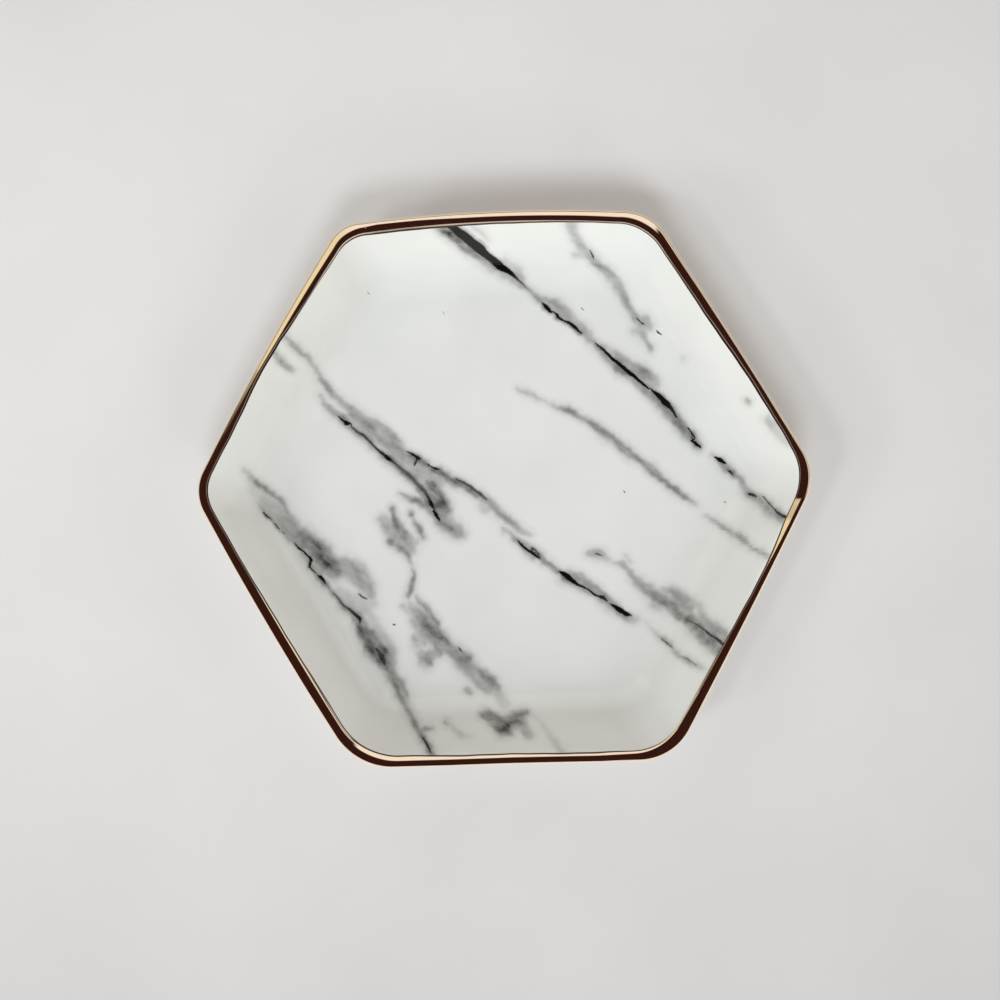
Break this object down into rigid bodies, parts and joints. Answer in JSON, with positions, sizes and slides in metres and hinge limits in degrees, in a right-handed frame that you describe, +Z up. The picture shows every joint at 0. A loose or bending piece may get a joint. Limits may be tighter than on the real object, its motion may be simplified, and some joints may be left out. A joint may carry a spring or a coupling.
{
  "type": "ring dish",
  "caption": "Shallow hexagonal ring dish of glazed porcelain with rounded corners, a coved wall, a marble print inside and a gold line over the lip.",
  "frame": {"origin": "middle of the flat face that the dish stands on, on the foot ring's standing plane", "axes": "+Z up out of the open dish; two corners of the hexagon lie on +X and -X, and two straight sides face +Y and -Y"},
  "size_m": [0.1102, 0.0986, 0.016],
  "materials": {
    "fired_porcelain": "fired bare porcelain, matte, seen only on the wiped foot ring",
    "clear_white_glaze": "clear white glaze, fired glossy",
    "marble_print": "white ground with grey and black marble veins, printed and fired in under a gloss",
    "bright_gold": "bright gold lustre, banded by hand and fired to a mirror"
  },
  "bodies": {
    "root": {"porcelain_body": "fired_porcelain", "glaze_coat": "clear_white_glaze", "underside_glaze": "clear_white_glaze", "marble_transfer": "marble_print", "gold_rim": "bright_gold"}
  },
  "joints": []
}
